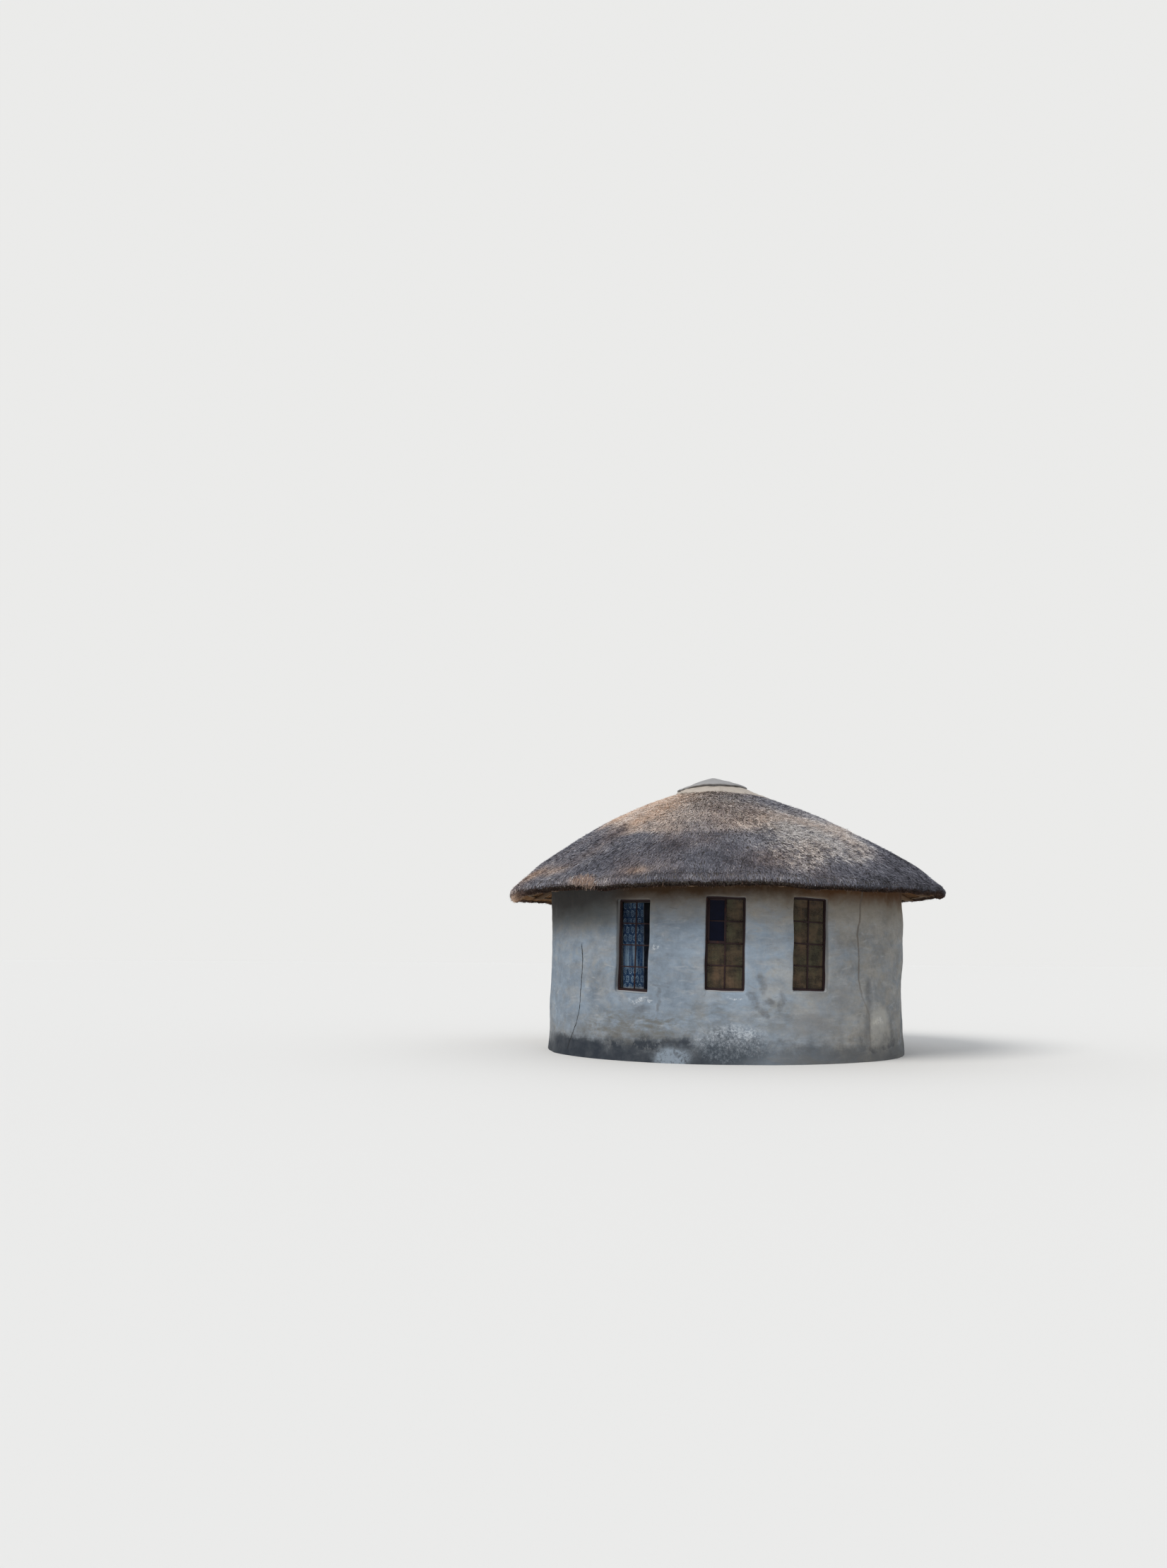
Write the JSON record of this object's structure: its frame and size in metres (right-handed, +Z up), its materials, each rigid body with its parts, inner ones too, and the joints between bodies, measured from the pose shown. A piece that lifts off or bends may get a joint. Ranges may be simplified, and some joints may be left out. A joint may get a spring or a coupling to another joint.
{
  "type": "rondavel hut",
  "caption": "Round plastered one-room hut with steel windows, a plank door, a convex thatched roof on poles and a cement ridge cap.",
  "frame": {"origin": "centre of the round wall on its flat base, at the foot of the deepest footing", "axes": "+Z up, -Y to the front with the centre window, +X to the right of someone facing the front"},
  "size_m": [6.6001, 6.5992, 4.1788],
  "materials": {
    "wall_plaster": "hand-floated cement plaster, weathered and stained",
    "floor_cement": "steel-floated cement screed",
    "thatch": "weathered grass thatch, combed and cut at the eave",
    "cap_cement": "cement mortar, weathered",
    "roof_poles": "peeled poles, aged",
    "laths": "split saplings, aged",
    "window_steel": "dark maroon-brown paint, worn",
    "window_glass": "old clear sheet glass, dusty",
    "door_wood": "dark stained boards, worn",
    "door_metal": "blackened iron",
    "rail_metal": "dull steel",
    "curtain_cloth": "pale lace over a blue lining"
  },
  "bodies": {
    "root": {"floor_slab": "floor_cement", "wall_front_left_pier": "wall_plaster", "wall_front_right_pier": "wall_plaster", "wall_right_front": "wall_plaster", "wall_right_middle": "wall_plaster", "wall_right_rear": "wall_plaster", "wall_back_right": "wall_plaster", "wall_back_left": "wall_plaster", "wall_left_rear": "wall_plaster", "wall_left_back": "wall_plaster", "wall_left_middle": "wall_plaster", "wall_left_front": "wall_plaster", "wall_bay_left": "wall_plaster", "wall_bay_centre": "wall_plaster", "wall_bay_right": "wall_plaster", "wall_bay_side": "wall_plaster", "wall_bay_back": "wall_plaster", "wall_over_door": "wall_plaster", "door_threshold": "floor_cement", "door_frame": "door_wood", "door_leaf": "door_wood", "door_handle": "door_metal", "window_frame_left": "window_steel", "window_frame_centre": "window_steel", "window_frame_right": "window_steel", "window_frame_side": "window_steel", "window_frame_back": "window_steel", "window_glass_left": "window_glass", "window_glass_centre": "window_glass", "window_glass_right": "window_glass", "window_glass_side": "window_glass", "window_glass_back": "window_glass", "curtain_rail": "rail_metal", "lace_curtain": "curtain_cloth", "wall_plate": "roof_poles", "main_rafters": "roof_poles", "short_rafters": "roof_poles", "rafter_hoop": "roof_poles", "roof_hub": "roof_poles", "laths": "laths", "thatch": "thatch", "ridge_skirt": "cap_cement", "ridge_cap": "cap_cement"}
  },
  "joints": []
}
